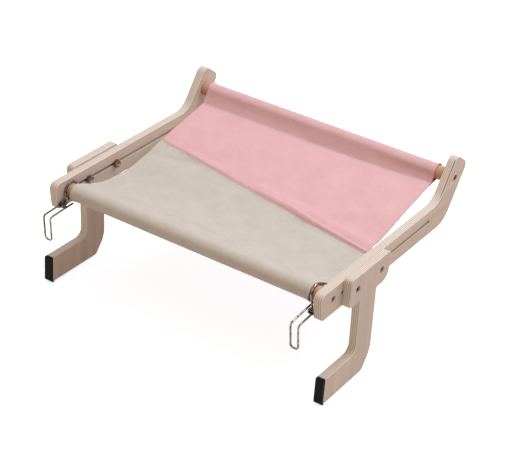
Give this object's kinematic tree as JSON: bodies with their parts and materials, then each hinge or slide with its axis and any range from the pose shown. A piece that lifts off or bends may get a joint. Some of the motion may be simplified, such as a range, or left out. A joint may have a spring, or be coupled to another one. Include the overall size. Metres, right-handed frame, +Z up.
{
  "type": "hanging cat bed",
  "caption": "Cat bed with a canvas sling on wooden dowels between plywood arms that bend up at the outer end, hung by wire hooks over a sill or board and braced by sliding legs.",
  "frame": {"origin": "midway between the two hooks, where they bear on the top edge of the sill or board", "axes": "+Z up; +Y out from the board, towards the bed's raised end; +X across the bed, to the right when looking along +Y"},
  "size_m": [0.5726, 0.4962, 0.2718],
  "materials": {
    "plywood": "sanded birch plywood",
    "dowel_beech": "satin",
    "canvas_beige": "woven canvas",
    "canvas_pink": "woven canvas",
    "chrome_wire": "bright plated",
    "bolt_steel": "bright plated",
    "zinc_steel": "zinc plated",
    "brass": "plain",
    "rubber": "matte"
  },
  "bodies": {
    "frame": {"left_arm": "plywood", "right_arm": "plywood", "front_dowel": "dowel_beech", "front_left_dowel_bolt": "bolt_steel", "front_left_dowel_washer": "zinc_steel", "front_left_dowel_insert": "brass", "front_right_dowel_bolt": "bolt_steel", "front_right_dowel_washer": "zinc_steel", "front_right_dowel_insert": "brass", "rear_dowel": "dowel_beech", "rear_left_dowel_bolt": "bolt_steel", "rear_left_dowel_washer": "zinc_steel", "rear_left_dowel_insert": "brass", "rear_right_dowel_bolt": "bolt_steel", "rear_right_dowel_washer": "zinc_steel", "rear_right_dowel_insert": "brass", "front_sling_panel": "canvas_beige", "rear_sling_panel": "canvas_pink"},
    "left_leg": {"left_leg": "plywood", "left_foot_pad": "rubber", "left_front_leg_bolt": "bolt_steel", "left_front_leg_washer": "zinc_steel", "left_front_leg_nut": "zinc_steel", "left_rear_leg_bolt": "bolt_steel", "left_rear_leg_washer": "zinc_steel", "left_rear_leg_nut": "zinc_steel"},
    "right_leg": {"right_leg": "plywood", "right_foot_pad": "rubber", "right_front_leg_bolt": "bolt_steel", "right_front_leg_washer": "zinc_steel", "right_front_leg_nut": "zinc_steel", "right_rear_leg_bolt": "bolt_steel", "right_rear_leg_washer": "zinc_steel", "right_rear_leg_nut": "zinc_steel"},
    "left_hook": {"left_hook": "chrome_wire", "left_hook_upper_plate": "zinc_steel", "left_hook_lower_plate": "zinc_steel", "left_hook_screw": "bolt_steel", "left_hook_nut": "zinc_steel"},
    "right_hook": {"right_hook": "chrome_wire", "right_hook_upper_plate": "zinc_steel", "right_hook_lower_plate": "zinc_steel", "right_hook_screw": "bolt_steel", "right_hook_nut": "zinc_steel"}
  },
  "joints": [
    {"name": "left_leg_slide", "type": "slide", "parent": "frame", "child": "left_leg", "axis": [0, 1, 0], "range_m": [-0.024, 0.183]},
    {"name": "right_leg_slide", "type": "slide", "parent": "frame", "child": "right_leg", "axis": [0, 1, 0], "range_m": [-0.024, 0.183]},
    {"name": "left_hook_swivel", "type": "hinge", "parent": "frame", "child": "left_hook", "pos_m": [-0.24625, 0.06, 0.02098], "axis": [1, 0, 0], "range_deg": [-90, 75]},
    {"name": "right_hook_swivel", "type": "hinge", "parent": "frame", "child": "right_hook", "pos_m": [0.24625, 0.06, 0.02098], "axis": [1, 0, 0], "range_deg": [-90, 75]}
  ]
}
